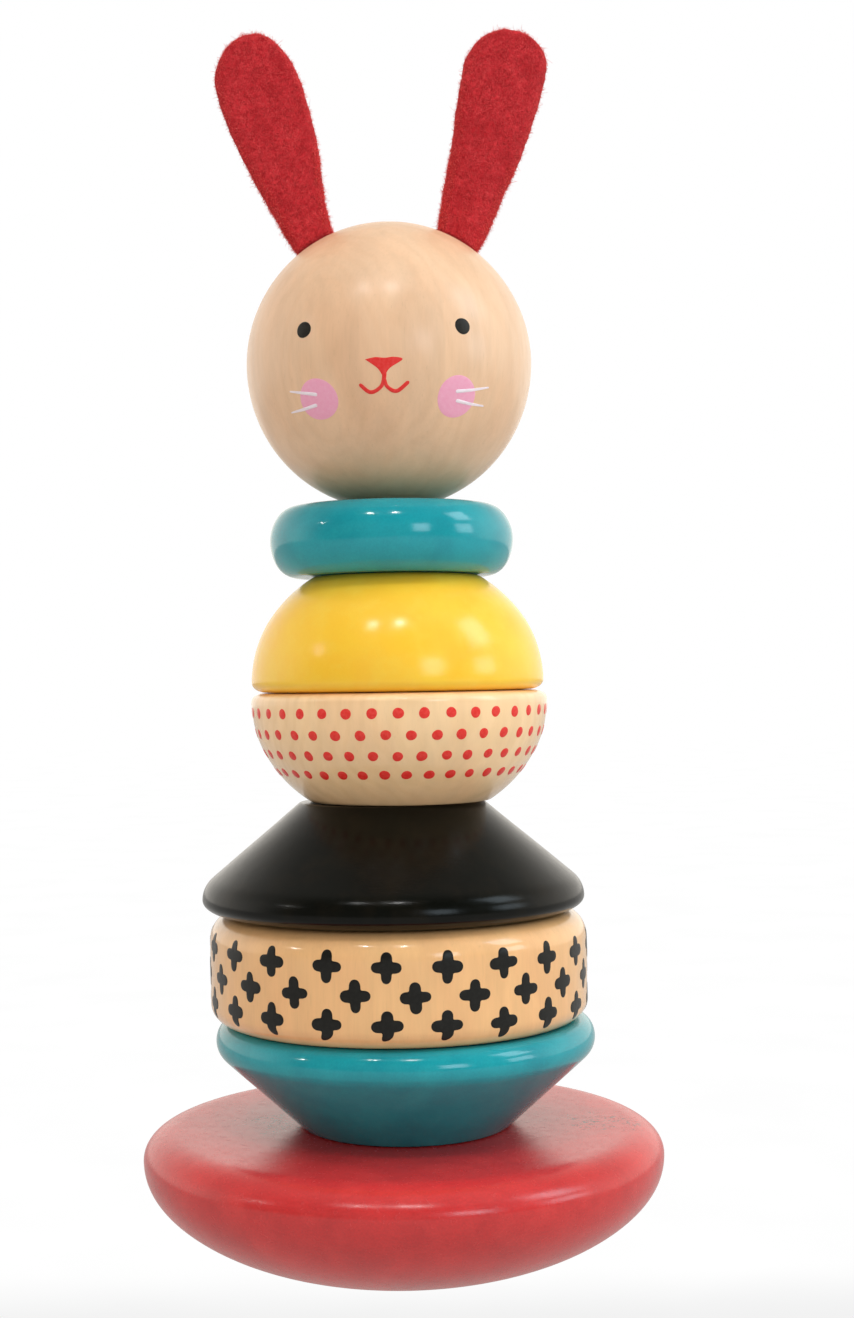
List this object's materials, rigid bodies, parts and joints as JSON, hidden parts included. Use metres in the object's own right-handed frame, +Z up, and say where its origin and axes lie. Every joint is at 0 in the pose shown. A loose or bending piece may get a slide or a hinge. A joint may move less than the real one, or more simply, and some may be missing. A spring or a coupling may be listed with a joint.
{
  "type": "stacking ring toy",
  "caption": "Wooden rabbit stacking toy: turned rings, cones and half-rounds on a post that is fixed in a rocking base, topped by a ball head with felt ears.",
  "frame": {"origin": "centre of the flat foot under the base, on the post's axis", "axes": "+Z up along the post, -Y the way the rabbit's face looks, +X to the right as seen from the front"},
  "size_m": [0.105, 0.105, 0.2496],
  "materials": {
    "painted_red": "satin red stain under clear lacquer, wood grain just showing",
    "painted_teal": "glossy teal paint over wood",
    "printed_wood": "clear-lacquered pale wood with stamped prints",
    "painted_black": "glossy black stain over wood",
    "painted_yellow": "glossy yellow paint over wood",
    "raw_wood": "sanded bare wood",
    "red_felt": "thick fuzzy wool-blend felt"
  },
  "bodies": {
    "base": {"rocker_base": "painted_red", "post": "raw_wood"},
    "lower_cone": {"lower_cone": "painted_teal"},
    "cross_ring": {"cross_ring": "printed_wood"},
    "black_cone": {"black_cone": "painted_black"},
    "dotted_bowl": {"dotted_bowl": "printed_wood"},
    "yellow_dome": {"yellow_dome": "painted_yellow"},
    "neck_ring": {"neck_ring": "painted_teal"},
    "head": {"head_ball": "printed_wood", "left_ear_root": "red_felt", "right_ear_root": "red_felt"},
    "left_ear": {"left_ear": "red_felt"},
    "right_ear": {"right_ear": "red_felt"}
  },
  "joints": [
    {"name": "lower_cone_lift", "type": "slide", "parent": "base", "child": "lower_cone", "axis": [0, 0, 1], "range_m": [0, 0.153]},
    {"name": "cross_ring_lift", "type": "slide", "parent": "lower_cone", "child": "cross_ring", "axis": [0, 0, 1], "range_m": [0, 0.131]},
    {"name": "black_cone_lift", "type": "slide", "parent": "cross_ring", "child": "black_cone", "axis": [0, 0, 1], "range_m": [0, 0.109]},
    {"name": "dotted_bowl_lift", "type": "slide", "parent": "black_cone", "child": "dotted_bowl", "axis": [0, 0, 1], "range_m": [0, 0.087]},
    {"name": "yellow_dome_lift", "type": "slide", "parent": "dotted_bowl", "child": "yellow_dome", "axis": [0, 0, 1], "range_m": [0, 0.065]},
    {"name": "neck_ring_lift", "type": "slide", "parent": "yellow_dome", "child": "neck_ring", "axis": [0, 0, 1], "range_m": [0, 0.042]},
    {"name": "head_lift", "type": "slide", "parent": "neck_ring", "child": "head", "axis": [0, 0, 1], "range_m": [0, 0.027]},
    {"name": "left_ear_bend", "type": "hinge", "parent": "head", "child": "left_ear", "pos_m": [-0.01628, 0, 0.20894], "axis": [0.866, 0, 0.5], "range_deg": [-40, 40], "stiffness_Nm_per_rad": 0.003},
    {"name": "right_ear_bend", "type": "hinge", "parent": "head", "child": "right_ear", "pos_m": [0.01487, 0, 0.20894], "axis": [0.866, 0, -0.5], "range_deg": [-40, 40], "stiffness_Nm_per_rad": 0.003}
  ]
}
